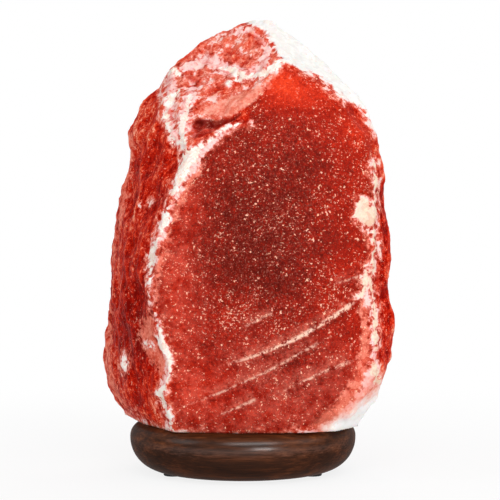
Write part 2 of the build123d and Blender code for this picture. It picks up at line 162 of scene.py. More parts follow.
# %% Colours, blends and noise that every finish uses
def paint(red, green, blue):
    """A colour as it looks on a screen, 0 to 255, as the linear colour that a shader wants."""
    linear = []
    for channel in (red, green, blue):
        c = channel / 255
        linear.append(c / 12.92 if c <= 0.04045 else ((c + 0.055) / 1.055) ** 2.4)
    return (*linear, 1.0)


def step_up(value, low, high):
    """0 below low, 1 above high, and a smooth rise between them."""
    settings = {"interpolation_type": "SMOOTHSTEP"}
    sockets = {"Value": value, "From Min": low, "From Max": high}
    return value.finish.node("ShaderNodeMapRange", settings, sockets)


def blend(amount, first, second):
    """Two colours, mixed by an amount from 0 to 1."""
    sockets = {0: amount, 6: first, 7: second}
    return amount.finish.node("ShaderNodeMix", {"data_type": "RGBA"}, sockets, output=2)


def larger(first, second):
    """The larger of two numbers, of which the first is a wire."""
    return first.finish.math("MAXIMUM", first, second)


def ramp(value, *stops):
    """A colour that runs through the stops, each a place from 0 to 1 and a colour."""
    return value.finish.node("ShaderNodeValToRGB", {"stops": stops}, {"Fac": value})


def clouds(place, size, detail=3.0, roughness=0.55):
    """Soft noise round 0.5, with features of about this size in millimetres."""
    settings = {"Scale": 1 / (size * mm), "Detail": detail, "Roughness": roughness}
    return place.finish.node("ShaderNodeTexNoise", {}, {"Vector": place, **settings})


def place_on(finish, stretch=(1, 1, 1)):
    """Object coordinates in metres, stretched along each axis."""
    coordinates = finish.node("ShaderNodeTexCoord", {}, {}, output=3)
    return finish.node("ShaderNodeMapping", {}, {"Vector": coordinates, "Scale": stretch})


def bumps(height, distance, strength=1.0):
    """A bent normal from a height, which is 0 to 1 times a distance in millimetres."""
    sockets = {"Height": height, "Distance": distance * mm, "Strength": strength}
    return height.finish.node("ShaderNodeBump", {}, sockets)


# %% [markdown]
# ## Where things are, as seen from the front
# The white bruises and the veins are placed as seen from the front. A point on the rock is
# carried along the line of sight onto the upright plane through the lamp's axis, and places on
# that plane
# are given in millimetres: across from the axis, and up from the floor.

# %% The front view
front_target = np.array(look_at) / mm
eye_distance = camera_distance / mm


def front_view(points):
    """Where points, in millimetres, are seen on the plane through the lamp's axis."""
    offset = points - front_target
    height = offset[:, 2] * cos(camera_tilt) + offset[:, 1] * sin(camera_tilt)
    depth = offset[:, 1] * cos(camera_tilt) - offset[:, 2] * sin(camera_tilt)
    shrink = eye_distance / (eye_distance + depth)
    across = front_target[0] + offset[:, 0] * shrink
    return np.column_stack((across, front_target[2] + height * shrink))


def inside_stroke(seen, stroke):
    """How far inside a brush stroke each point is, in millimetres, less than 0 outside. The
    stroke is a line of (across, up, half width) points."""
    deepest = np.full(len(seen), -1000.0)
    for start, end in zip(stroke[:-1], stroke[1:]):
        origin = np.array(start[:2])
        along = np.array(end[:2]) - origin
        share = np.clip((seen - origin) @ along / (along @ along), 0, 1)
        gap = np.linalg.norm(seen - origin - share[:, None] * along, axis=1)
        width = start[2] + share * (end[2] - start[2])
        deepest = np.maximum(deepest, width - gap)
    return deepest


def inside_any(seen, strokes):
    """How far inside the nearest of some strokes each point is."""
    return np.maximum.reduce([inside_stroke(seen, stroke) for stroke in strokes])


def inside_outline(seen, outline):
    """How far inside a closed outline each point is, in millimetres, less than 0 outside."""
    closed = [(x, z, 0.0) for x, z in outline] + [(*outline[0], 0.0)]
    gap = -inside_stroke(seen, closed)
    crossings = np.zeros(len(seen), int)
    for (x1, z1, _), (x2, z2, _) in zip(closed[:-1], closed[1:]):
        spans = (z1 > seen[:, 1]) != (z2 > seen[:, 1])
        rise = z2 - z1 if z2 != z1 else 1.0
        cut = x1 + (seen[:, 1] - z1) / rise * (x2 - x1)
        crossings += spans & (seen[:, 0] < cut)
    return np.where(crossings % 2 == 1, gap, -gap)


# %% [markdown]
# ## The marks on the rock
# A hammer blow leaves salt white: the crushed grains scatter light. So every corner that was
# knocked is pale, from salmon at the edge of the bruise to chalk white in its middle. On the cap
# a few blotches stayed clear, and below its brow a smooth lobe of salmon overhangs a dark notch,
# with a painted shadow along the lobe's lower edge. The salmon along the left rim is a painted
# glow of light through the thin edge.

# %% Chalk white bruises
# Each stroke is a line of (across, up, half width) points, in millimetres.
ridge_top_chalk = (
    (4.6, 176.2, 0.5), (-1.5, 175.4, 1.1), (-6.5, 174.2, 1.4), (-11.1, 171.1, 0.8),
    (-16.6, 167.1, 0.6), (-21.7, 163.1, 1.5), (-26.2, 159.5, 4), (-28.8, 155.5, 3),
    (-31.3, 148.9, 2.5), (-33.3, 143.9, 1.8), (-35.8, 138.8, 1.5),
)
ridge_middle_chalk = (
    (-36.8, 136.3, 1.1), (-38.4, 130.2, 1.5), (-38.9, 125.7, 2.5), (-40.9, 121.1, 1),
    (-43.4, 116.6, 0.9), (-44.4, 112, 2.3), (-46.4, 107, 1.5), (-46.7, 102.4, 0.8),
    (-46.9, 91.3, 0.7), (-46.4, 85.2, 0.8),
)
ridge_lower_chalk = (
    (-45.9, 84.2, 0.8), (-43.9, 77.1, 1.1), (-42.9, 71.1, 1.8), (-41.4, 64.5, 3),
    (-37.3, 58.4, 1.7), (-36.8, 52.9, 1.3), (-37.3, 47.8, 1), (-38.9, 43.8, 1.6),
    (-41.4, 39.2, 2.7), (-39.9, 33.1, 1.4), (-36.8, 25.6, 1.7), (-35.3, 20, 1),
)
side_flake_chalk = ((-52, 64.5, 0.8), (-48, 63.5, 1.2))
chip_cluster_chalk = ((-52.5, 134.2, 0.5), (-49.5, 133.2, 0.9), (-45.9, 135.8, 0.5))
lens_chip_chalk = ((-60.6, 59.4, 0.3), (-60.3, 54.9, 1.3), (-60.1, 49.3, 0.3))
outer_vein_chalk = (
    (-35.3, 165.6, 1.3), (-37.3, 172.2, 1.5), (-38.4, 179.2, 1.8), (-37.9, 184.3, 1.5),
    (-35.8, 188.8, 2), (-32.3, 192.4, 1.3),
)
inner_vein_chalk = (
    (-29.8, 162.1, 2), (-31.3, 169.1, 2.3), (-29.8, 176.2, 2.3), (-27.7, 181.3, 1.8),
    (-26.7, 187.3, 1.3), (-26.2, 191.4, 0.8),
)
upper_left_chalk = ((-37.9, 200, 1), (-33.8, 201.5, 2), (-29.8, 199.5, 1))
brow_chalk = (
    (-7.5, 195.4, 1), (-2, 197, 1.6), (4, 199.5, 1.8), (10.7, 202, 1.8),
    (16.2, 204.6, 1.7), (22.8, 206.5, 1.5),
)
brow_patch_chalk = (
    (-12, 203.5, 1), (-7.5, 203.5, 2.2), (-3.5, 201.5, 2.8), (1.1, 199.5, 2.2),
)
right_edge_chalk = (
    (66.6, 156, 0.9), (67, 142, 1.4), (67, 108.5, 1.5), (65.8, 103.4, 1.4),
    (64.8, 96.3, 1.4), (66.2, 86.2, 1.3), (66.8, 71.1, 1.3), (67.2, 61, 1.3),
)
right_chip_chalk = ((60.8, 134.6, 3.6), (61.8, 130.2, 5.2), (64, 126, 3.6))
right_notch_chalk = ((62.2, 101.4, 1.5), (62.2, 94.3, 2), (59.7, 89.3, 1.8), (57.2, 87.7, 0.8))
right_low_chalk = ((65.3, 54.9, 1.3), (66.8, 49.8, 2.1), (67.8, 44.8, 1.3))
chalk_strokes = (
    ridge_top_chalk, ridge_middle_chalk, ridge_lower_chalk, side_flake_chalk,
    chip_cluster_chalk, lens_chip_chalk, outer_vein_chalk, inner_vein_chalk,
    upper_left_chalk, brow_chalk, brow_patch_chalk, right_edge_chalk, right_chip_chalk,
    right_notch_chalk, right_low_chalk,
)

# %% Pink and salmon salt
ridge_pink = (
    (-2, 174, 0.8), (-12, 168.2, 2.6), (-20.4, 162.6, 3.4), (-27, 155, 4.4),
    (-31, 146, 2.6), (-37, 134, 2.2), (-40, 124.5, 4), (-44, 113, 2.4),
    (-46, 104, 1.2), (-45.9, 92, 1.2), (-43.6, 78, 1.8), (-41, 65, 3.6),
    (-38, 55, 2), (-40, 42, 3.4), (-39, 33, 2.2), (-37, 21, 2.4),
)
outer_cap_pink = (
    (-37, 199, 4), (-36.5, 188, 4.5), (-38, 178, 3.4), (-34, 167, 3.4),
)
inner_cap_pink = ((-25, 196, 3), (-28, 184, 3.6), (-30.5, 172, 4))
top_cap_pink = (
    (-30, 203, 3), (-18, 208, 4), (-8, 203, 5), (3, 200, 4),
    (10, 205, 4), (12, 214, 3), (4, 223, 2.6), (-6, 221, 2.2),
)
sole_pink = (
    (-58, 30, 1), (-46.9, 22, 1.6), (-37.9, 19.5, 2), (-10, 16.5, 1),
    (16, 17, 1.2), (36, 19.5, 2.6), (50, 26, 2),
)
right_pink = (
    (66.8, 140, 0.8), (66.8, 116, 0.6), (64.4, 100, 1.8), (63, 88, 2.2),
    (66, 70, 1.2), (66.5, 52, 2.8), (63, 40, 3.4), (54, 30, 3.2),
)
pink_strokes = (ridge_pink, outer_cap_pink, inner_cap_pink, top_cap_pink, sole_pink, right_pink)
ridge_salmon = (
    (-20, 158, 0.6), (-25, 150, 2.2), (-30, 142, 1.4), (-36.5, 122, 1.6),
    (-40, 112, 1.8), (-44, 96, 1.2), (-44, 84, 1),
)
brow_salmon = (
    (-17.6, 181.3, 1.8), (-10.6, 182.3, 3.3), (-3.5, 185.8, 2.8), (2.1, 188.8, 2),
    (6.6, 192.4, 1.3), (10.7, 195.9, 0.8),
)
# Along the left rim the salmon is a painted glow of light through the thin edge.
left_rim_painted_glow = (
    (-58.6, 171.7, 0.8), (-57.6, 164.1, 1.5), (-58.1, 157, 1.3), (-60.6, 144.4, 1.8),
    (-61.1, 136.8, 2.3), (-61.6, 129.7, 1.5), (-63.6, 122.6, 0.8), (-65.1, 116.6, 1.5),
    (-66.7, 107.5, 1.3), (-68.2, 96.3, 1), (-68.7, 86.2, 1.3), (-68.2, 77.1, 1.3),
    (-68.7, 66, 1), (-69.2, 55.9, 1.2), (-67.2, 46.8, 1.3), (-63.6, 37.7, 1.5),
    (-59.1, 29.6, 1.5), (-54.5, 24.6, 1.5),
)
bottom_salmon = (
    (-54.5, 25.1, 1.3), (-46.9, 22, 2.2), (-37.9, 19.5, 2.2), (-26.7, 18, 1.6),
    (-9, 17, 1), (18.8, 18, 1.4), (28.9, 19, 2), (38, 20, 3),
)
right_salmon = (
    (66, 150, 0.6), (64, 112, 0.8), (62, 88, 2.2), (62, 66, 2.6),
    (60, 46, 3), (48, 30, 3),
)
salmon_strokes = (ridge_salmon, brow_salmon, left_rim_painted_glow, bottom_salmon, right_salmon)

# %% Clear blotches, the smooth lobe, a painted shadow under it and a salmon facet
orange_blotch = ((4, 220, 1.8), (7.5, 217, 2.6))
middle_blotch = ((-8, 212, 1.2), (-4, 210, 2.2), (1.5, 205.5, 2.2))
small_blotch = ((-27, 199, 1.2), (-24, 197, 1.6))
low_blotch = ((-16, 192, 1.8), (-11, 193, 2.4), (-8, 190, 1.6))
bare_strokes = (orange_blotch, middle_blotch, small_blotch, low_blotch)
brow_lobe = ((-18.5, 182.3, 1.8), (-9, 183.4, 4.2), (1, 188, 3.8), (8, 192.3, 2))
# A painted shadow along the lobe's lower edge, where it overhangs the notch.
brow_undercut_shadow = (
    (-25, 176.2, 0.6), (-20, 176, 1.5), (-14, 175.8, 1.7), (-8, 177.4, 1.3),
    (-1.5, 180.8, 0.6),
)
side_facet = (
    (-51.5, 76.6), (-48, 81.7), (-43.4, 73.1), (-45.4, 68), (-43.4, 61), (-40.4, 55.4),
    (-38.9, 49.3), (-40.4, 45.3), (-44.9, 50.8), (-48.5, 56.4), (-53, 61.5), (-53, 66),
    (-51.5, 71.1),
)
print("strokes placed:", len(chalk_strokes) + len(pink_strokes) + len(salmon_strokes))

# %% Whole faces
white_facet = (
    (-2.5, 227.3), (9.7, 223.7), (21.3, 205.5), (30.9, 202.5), (40, 199.5), (46.1, 192.4),
    (53.1, 186.8), (59.2, 184.3), (63.8, 178.2), (68.3, 169.1), (79.4, 162.1), (79.4, 233),
    (-2.5, 235),
)
white_corner = (
    (71.3, 43.8), (66.3, 37.7), (60.2, 33.7), (55.2, 28.6), (48.1, 25.1), (42, 21.5),
    (44, 15.5), (79.4, 15.5), (79.4, 43.8),
)
cap = (
    (-43.9, 194.4), (-21.7, 215.6), (-4, 230.8), (9.7, 223.7), (21.3, 205.5), (3.6, 187.3),
    (-7.5, 179.2), (-20.2, 168.6), (-28.8, 159.5), (-35.8, 166.1), (-43.9, 177.2),
)
notch = (
    (-25.7, 176.7), (-21.7, 177.7), (-17.1, 177.2), (-14.1, 175.2), (-9, 177.5), (-1.5, 181.3),
    (-0.4, 179.7), (-7.5, 176.2), (-11.6, 173.7), (-16.6, 170.9), (-20.7, 169.1), (-24.2, 168.1),
    (-26.7, 170.1),
)
front_face = (
    (3.6, 176.2), (-20.2, 168.6), (-28.8, 154.5), (-35.8, 137.8), (-42.9, 116.6),
    (-46.4, 103.9), (-46.9, 90.8), (-43.4, 77.1), (-37.3, 57.4), (-37.9, 35.7), (-34.8, 19),
    (-1.5, 15.5), (46.1, 22.5), (60.7, 34.7), (66.3, 46.8), (66.3, 69), (66.3, 108.5),
    (68.3, 136.8), (66.3, 169.1), (53.1, 186.8), (40, 199.5), (21.3, 205.5), (9.7, 195.4),
    (1.6, 187.3),
)
# Some spots paint light: the lighter ones high on the right and beside the ridge are a painted
# glow where light comes through thin salt, and the dark one in the middle is painted shade where
# it is thick.
# Each spot of lighter or darker salt: across, up, its two half sizes, and how much it changes.
glow_and_tone_spots = (
    (10, 126, 32, 42, -0.20),
    (30, 190, 20, 9, 0.30),
    (19, 198, 9, 8, 0.30),
    (58, 174, 10, 12, 0.18),
    (56, 140, 12, 30, 0.04),
    (54, 104, 12, 10, 0.07),
    (60, 64, 10, 26, 0.12),
    (72, 92, 4.5, 50, -0.22),
    (-34, 92, 10, 34, 0.17),
    (-27, 130, 8, 14, 0.11),
    (4, 100, 26, 22, -0.06),
    (-22, 40, 20, 16, 0.18),
    (30, 48, 34, 22, -0.02),
    (16, 25, 30, 10, 0.08),
    (-48, 152, 12, 12, -0.14),
    (-66, 54, 4, 7, 0.10),
    (-56, 74, 10, 30, -0.36),
    (-1, 215, 10, 9, 0.24),
    (-14, 188, 14, 10, 0.12),
    (-34, 181, 4, 8, 0.16),
)

# %% [markdown]
# The saw-straight streaks across the lower front are the edges of cleavage steps. Each is a
# shallow arc. The same sums place them on the points of the rock, for the step itself, and in the
# material, for its pale edge, because the sums work on rows of numbers and on wires alike.

# %% Cleavage steps across the front
# Each step: where it starts and ends, how far it sags, its pale half width, and its strength.
cleavage_steps = (
    ((59.2, 87.7), (-14.1, 52.4), 4.6, 0.65, 1.0),
    ((42.0, 67.0), (-35.8, 30.6), 2.6, 0.35, 0.7),
    ((56.7, 55.9), (17.2, 38.2), -1.0, 0.40, 0.8),
    ((7.1, 36.6), (-13.1, 27.6), 0.2, 0.35, 0.7),
    ((15.7, 80.2), (-3.0, 71.1), 0.2, 0.25, 0.5),
    ((60.2, 98.9), (44.0, 93.8), 0.2, 0.25, 0.5),
)

def along_and_across(across, up, start, end, sag):
    """A point's share of the way along a shallow arc, and its distance above it in mm."""
    run = Vector(end) - Vector(start)
    aim = run.normalized()
    share = ((across - start[0]) * aim.x + (up - start[1]) * aim.y) * (1 / run.length)
    above = (across - start[0]) * aim.y - (up - start[1]) * aim.x
    return share, above + 4 * sag * (share * (1 - share))


# %% [markdown]
# ## The rock's broken surface
# The solid has the rock's facets, but straight edges and flat sides look cut. A copy of it is
# rebuilt as an even net of small faces, and each point is then moved a little in or out: shell
# shaped scallops where flakes came off, lumps, and grain. A voxel remesh is the simplest way to
# get an even net from a solid with holes in it, and the moves stay small, so the rock keeps its
# size and its hole still fits the lamp holder.

# %% An even net over the solid
net_size = 1.2 * mm


def object_from(net, name):
    """Put a finished net into the scene as an object."""
    mesh = bpy.data.meshes.new(name)
    net.to_mesh(mesh)
    net.free()
    made = bpy.data.objects.new(name, mesh)
    bpy.context.scene.collection.objects.link(made)
    return made


salt_net = bmesh.new()
salt_net.from_mesh(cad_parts["salt_crystal"].data)
bmesh.ops.remove_doubles(salt_net, verts=salt_net.verts, dist=0.001 * mm)
salt_rock = object_from(salt_net, "salt_rock")
remesh = salt_rock.modifiers.new("even_net", "REMESH")
remesh.mode = "VOXEL"
remesh.voxel_size = net_size
bpy.context.view_layer.update()
even_mesh = bpy.data.meshes.new_from_object(
    salt_rock.evaluated_get(bpy.context.evaluated_depsgraph_get())
)
salt_rock.modifiers.clear()
salt_rock.data = even_mesh
print("rock faces:", len(even_mesh.polygons))

# %% Soften the cut edges, then read the points
bore_radius = 23.0
bore_top = 145.0
hole_margin = 3.0
sole_margin = 2.0
softening_passes = 6
salt_floor = salt_low.z / mm

salt_net = bmesh.new()
salt_net.from_mesh(even_mesh)
outside = [
    v for v in salt_net.verts
    if v.co.xy.length > (bore_radius + hole_margin) * mm or v.co.z > (bore_top + hole_margin) * mm
]
outside = [v for v in outside if v.co.z > salt_low.z + sole_margin * mm]
for _ in range(softening_passes):
    bmesh.ops.smooth_vert(
        salt_net, verts=outside, factor=0.5, use_axis_x=True, use_axis_y=True, use_axis_z=True
    )
salt_net.to_mesh(even_mesh)
salt_net.free()
points = np.empty(len(even_mesh.vertices) * 3)
even_mesh.vertices.foreach_get("co", points)
points = points.reshape(-1, 3) / mm
normals = np.array([v.normal for v in even_mesh.vertices])
seen = front_view(points)
print("rock points:", len(points))

# %% Which part of the rock is which
def rise(values, low, high):
    """0 below low, 1 above high, and a smooth rise between them."""
    share = np.clip((values - low) / (high - low), 0, 1)
    return share * share * (3 - 2 * share)


# The hole and the sole stay as they are. The marks set in over the next few millimetres.
still_radius = bore_radius + 2
marked_radius = bore_radius + 6
above_bore = points[:, 2] > bore_top + 4
from_axis = np.hypot(points[:, 0], points[:, 1])
on_outside = np.where(above_bore, 1.0, rise(from_axis, still_radius, marked_radius))
on_outside *= rise(points[:, 2], salt_floor + 0.5, salt_floor + 4)
facing = rise(-normals[:, 1], 0.05, 0.30)
in_front_face = inside_outline(seen, front_face)
smooth_face = rise(in_front_face, -2.0, 3.0) * facing
# The white facet and the white corner wrap round the side a little, and fade out behind it.
wraps_round = rise(-normals[:, 1], -0.30, -0.05)
turned_away = 1 - wraps_round
facet_fade = 4
corner_fade = 24
in_white_facet = inside_outline(seen, white_facet) * wraps_round - facet_fade * turned_away
in_white_corner = inside_outline(seen, white_corner) * wraps_round - corner_fade * turned_away
in_cap = inside_outline(seen, cap)
in_notch = inside_outline(seen, notch)
chalk = inside_any(seen, chalk_strokes)
# The salmon marks take in the painted glow along the left rim.
salmon = np.maximum(inside_any(seen, salmon_strokes), inside_outline(seen, side_facet))
# Lighter and darker spots, some of them painted glow and painted shade.
spot_tone = np.zeros(len(points))
for spot_across, spot_up, half_across, half_up, change in glow_and_tone_spots:
    offset = (seen - (spot_across, spot_up)) / (half_across, half_up)
    spot_tone += change * np.exp(-(offset**2).sum(axis=1))
step_height = 0.5
step_reach = 6.0
step_relief = np.zeros(len(points))
for start, end, sag, half_width, strength in cleavage_steps:
    share, above = along_and_across(seen[:, 0], seen[:, 1], start, end, sag)
    fade = rise(share, 0.0, 0.2) * rise(1 - share, 0.0, 0.3)
    step = (rise(above, -0.8, 0.8) - 0.5) * np.exp(-abs(above) / step_reach)
    step_relief += step_height * strength * fade * step
print("share of points on the smooth front:", smooth_face.mean().round(3))

# %% [markdown]
# Scallops come from cell noise: the distance to the nearest of many scattered points makes a
# dish with a sharp rim where two dishes meet, as struck stone has.

# %% Scallops, lumps and grain
def noise_at(places, size, octaves, seed):
    """Fractal noise from -1 to 1 with features of about this size, for rows of points."""
    shift = Vector((seed * 7.3, seed * 3.1, seed * 5.7))
    return np.array([noise.fractal(Vector(p) / size + shift, 1.0, 2.1, octaves) for p in places])


def scallops_at(places, size, seed):
    """0 in the middle of each dish and towards 1 at its rim."""
    shift = Vector((seed * 2.9, seed * 6.1, seed * 4.3))
    return np.array([noise.voronoi(Vector(p) / size + shift)[0][0] for p in places])


warp = np.column_stack([noise_at(points, 14.0, 2, seed) for seed in (1, 2, 3)])
upright_stretch = np.array([1.0, 1.0, 0.6])
large_scallops = scallops_at((points + 3.0 * warp) * upright_stretch, 13.0, 4)
small_scallops = scallops_at((points + 1.5 * warp) * upright_stretch, 6.0, 5)
lumps = noise_at(points, 20.0, 3, 6)
grain = noise_at(points, 3.2, 3, 7)
chipped = 1 - smooth_face
capped = rise(in_cap, -1.0, 3.0) * facing
bruised = rise(chalk, -1.5, 1.5) * facing
knobs = noise_at(points, 5.0, 3, 8)
flutes = noise_at(points * np.array([1.0, 1.0, 0.22]), 4.5, 3, 9)
large_dish_depth = 1.2
small_dish_depth = 0.9
flute_depth = 0.5
knob_depth = 0.5
cap_knob_depth = 1.5
notch_depth = 1.5
inward_shift = 0.4
dishes = large_dish_depth * (large_scallops - 0.5) + small_dish_depth * (small_scallops - 0.5)
relief = (
    chipped * (1 - 0.7 * capped) * dishes
    + chipped * (1 - capped) * (flute_depth * flutes + knob_depth * knobs)
    + (0.25 + 0.7 * chipped) * lumps
    + (0.14 + 0.12 * chipped) * grain
    + capped * (cap_knob_depth * knobs + 0.2)
    + bruised * (0.4 + 0.8 * knobs)
    - notch_depth * rise(in_notch, -0.8, 0.8) * facing
    + step_relief * smooth_face
    - inward_shift
)
print("relief in mm:", relief.min().round(2), "to", relief.max().round(2))

# %% Move the points, and keep inside the solid's box
box_margin = 0.02
moved = points + normals * (relief * on_outside)[:, None]
low_limit = np.array(salt_low) / mm + box_margin
high_limit = np.array(salt_high) / mm - box_margin
moved = np.clip(moved, low_limit, high_limit)
sole = (normals[:, 2] < -0.7) & (points[:, 2] < salt_floor + 1.2)
moved[sole, 2] = salt_floor
even_mesh.vertices.foreach_set("co", (moved * mm).ravel())
even_mesh.polygons.foreach_set("use_smooth", [True] * len(even_mesh.polygons))
even_mesh.update()
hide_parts("salt_crystal")
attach(salt_rock, "lamp")

# %% How sharp each place is
# A point that stands out from its neighbourhood is on a corner, and a low one is in a hollow.
smoothing_passes = 40
edge_ends = np.array([e.vertices[:] for e in even_mesh.edges])
neighbours = np.bincount(edge_ends.ravel(), minlength=len(moved)).astype(float)
smoothed = moved.copy()
for _ in range(smoothing_passes):
    sums = np.zeros_like(smoothed)
    np.add.at(sums, edge_ends[:, 0], smoothed[edge_ends[:, 1]])
    np.add.at(sums, edge_ends[:, 1], smoothed[edge_ends[:, 0]])
    smoothed = 0.5 * smoothed + 0.5 * sums / neighbours[:, None]
fresh_normals = np.array([v.normal for v in even_mesh.vertices])
sharpness = np.einsum("ij,ij->i", moved - smoothed, fresh_normals)
print("sharpness in mm:", sharpness.min().round(2), "to", sharpness.max().round(2))

# %% Write down what the finish needs at each point
notes = {
    "facing": facing,
    "smooth_face": smooth_face,
    "chalk": chalk,
    "pink": inside_any(seen, pink_strokes),
    "salmon": salmon,
    "bare": inside_any(seen, bare_strokes),
    "lobe": inside_stroke(seen, brow_lobe),
    "undercut": inside_stroke(seen, brow_undercut_shadow),
    "white_facet": in_white_facet,
    "white_corner": in_white_corner,
    "cap": in_cap,
    "notch": in_notch,
    "spot_tone": spot_tone,
    "sharpness": sharpness,
}
for name, values in notes.items():
    layer = even_mesh.attributes.new(name, "FLOAT", "POINT")
    layer.data.foreach_set("value", values.astype(np.float32))
print("numbers stored at each point:", len(notes))

# %% [markdown]
# ## The finish of the salt
# Clear salt runs from a deep dark red, where it is thick, to orange, where light gets through.
# Over it lie salmon, pink and chalk white, each as far as its strokes reach, with an edge broken
# up by noise and by small crystals.

# %% The front view, as wires
salt = Finish("red_rock_salt")
salt_place = place_on(salt)


def noted(name):
    """A number stored on the rock's points."""
    return salt.node("ShaderNodeAttribute", {"attribute_name": name}, {}, output=2)


def axis_of(place, axis):
    """One coordinate of a place, in millimetres."""
    metres = place.finish.node("ShaderNodeSeparateXYZ", {}, {"Vector": place}, output=axis)
    return metres * (1 / mm)


side = axis_of(salt_place, 0) - front_target[0]
back = axis_of(salt_place, 1)
lift = axis_of(salt_place, 2) - front_target[2]
salt_depth = back * cos(camera_tilt) - lift * sin(camera_tilt)
salt_shrink = eye_distance / (salt_depth + eye_distance)
seen_across = side * salt_shrink + front_target[0]
seen_up = (lift * cos(camera_tilt) + back * sin(camera_tilt)) * salt_shrink + front_target[2]

# %% Noise and crystals, from broad to fine
broad = clouds(salt_place, 20.0, 3.0) - 0.5
middle = clouds(salt_place, 5.0, 4.0, 0.6) - 0.5
fine = clouds(salt_place, 1.5, 3.0, 0.6) - 0.5
grit = clouds(salt_place, 0.6, 2.0, 0.6) - 0.5
streaks = clouds(place_on(salt, (1, 1, 0.35)), 3.6, 3.0, 0.6) - 0.5


def crystals(size, stretch=(1, 1, 1)):
    """One even random number, round 0, for each cell of a broken-up pattern of this size."""
    scattered = {"Vector": place_on(salt, stretch), "Scale": 1 / (size * mm)}
    cell = salt.node("ShaderNodeTexVoronoi", {}, scattered, output=1)
    return salt.node("ShaderNodeSeparateColor", {}, {"Color": cell}) - 0.5


small_crystals = crystals(1.1)
large_crystals = crystals(2.6)

# %% How light or dark the clear salt is
facing_wire = noted("facing")
flat = noted("smooth_face")
# Sharp corners get a lighter red: a painted glow of light through the thin edges.
corner_glow = step_up(noted("sharpness"), 0.05, 0.9)
tone = (
    0.45
    + noted("spot_tone") * facing_wire
    + 0.4 * broad
    + 0.22 * middle
    + 0.55 * fine
    + 0.7 * grit
    + 0.14 * small_crystals
)
side_tone = (
    0.44
    + noted("spot_tone") * facing_wire
    + 0.8 * broad
    + (0.4 + 0.7 * facing_wire) * middle
    + (0.3 + 0.5 * facing_wire) * streaks
    + (0.6 + 0.4 * facing_wire) * fine
    + 0.7 * grit
    + 0.25 * small_crystals
    # painted glow on the corners
    + 0.30 * corner_glow
)
# A milky haze lies over the front, low down and beside the ridge.
haze_top = 78
ridge_side = -12
ridge_top = 162
low_on_front = step_up(haze_top - seen_up, 0, 40) * flat
near_ridge = step_up(ridge_side - seen_across, 0, 24) * step_up(ridge_top - seen_up, 0, 30)
hazy = larger(low_on_front, near_ridge * flat)
front_haze = hazy * step_up(1.4 * middle + broad + 0.6 * fine, -0.30, 0.30)

# %% The pale edges of the cleavage steps, and a painted shade below each
haze_rise = 1.4
haze_half = 4.6
shade_drop = 2.4
shade_half = 2.2
step_pale = 0.0
step_haze = 0.0
for start, end, sag, half_width, strength in cleavage_steps:
    share, above = along_and_across(seen_across, seen_up, start, end, sag)
    above = above + 2.2 * middle + 1.2 * fine
    fade = step_up(share, 0.0, 0.12) * step_up(1 - share, 0.0, 0.3)
    line_reach = half_width * (1.7 - 1.2 * share) - abs(above)
    line = step_up(line_reach, -0.7, 0.5) * (fade * strength)
    haze = step_up(1 - abs(above - haze_rise) / haze_half, 0.0, 1.0) * (fade * strength)
    # Below each step the tone is darkened: a painted shade.
    shade = step_up(1 - abs(above + shade_drop) / shade_half, 0.0, 1.0) * (0.10 * strength)
    tone = tone - fade * shade * flat
    step_pale = larger(line, step_pale)
    step_haze = larger(haze, step_haze)
step_pale = step_pale * flat * step_up(middle + 0.9 * fine + 0.5 * grit, -0.12, 0.12)
step_haze = step_haze * flat * step_up(middle + fine + 0.3 * large_crystals, -0.30, 0.30)

# %% Clear red salt
front_red = ramp(
    tone,
    (0.0, paint(78, 16, 11)),
    (0.25, paint(112, 25, 17)),
    (0.5, paint(160, 31, 18)),
    (0.75, paint(206, 50, 28)),
    (1.0, paint(230, 68, 34)),
)
side_red = ramp(
    side_tone,
    (0.05, paint(124, 8, 2)),
    (0.35, paint(178, 24, 8)),
    (0.6, paint(212, 52, 26)),
    (0.8, paint(232, 106, 74)),
    (1.0, paint(248, 176, 148)),
)
red = blend(flat, side_red, front_red)

# %% How far each mark reaches
def front_only(name):
    """How far inside a mark of the front a place is, and well outside on the other sides."""
    return noted(name) * facing_wire + (facing_wire - 1) * 4


ragged = 4 * broad + 7 * middle + 3 * fine + 1.6 * large_crystals + 1.0 * small_crystals
facet_depth = noted("white_facet") + 3 * middle + 0.6 * large_crystals
chalk_depth = front_only("chalk") - 0.5
pale_depth = larger(chalk_depth, facet_depth)
pink_depth = larger(front_only("pink") - 0.8, pale_depth + 0.7)
salmon_depth = larger(front_only("salmon"), pink_depth + 1.0)
cracks = 1 - step_up(abs(fine + 0.6 * middle), 0.0, 0.045)
chalk_cover = step_up(chalk_depth + 0.6 * ragged, -0.3, 0.5) * (1 - 0.5 * cracks)
pink_cover = step_up(pink_depth + 1.1 * ragged, -0.6, 1.2)
salmon_cover = step_up(salmon_depth + 1.2 * ragged, -1.6, 2.0)
facet_cover = step_up(facet_depth + 0.3 * ragged, -0.6, 1.2)
corner_depth = noted("white_corner") + 0.7 * ragged
bare_cover = step_up(front_only("bare") + 0.7 * ragged, -0.8, 1.2)
lobe_cover = step_up(front_only("lobe") + 0.3 * ragged, -0.6, 0.8)
notch_cover = step_up(front_only("notch") + 2 * middle, -0.6, 0.6)
# How far the painted shadow under the lobe reaches.
painted_undercut_shadow = step_up(front_only("undercut") + 0.8 * middle, -0.6, 0.9)

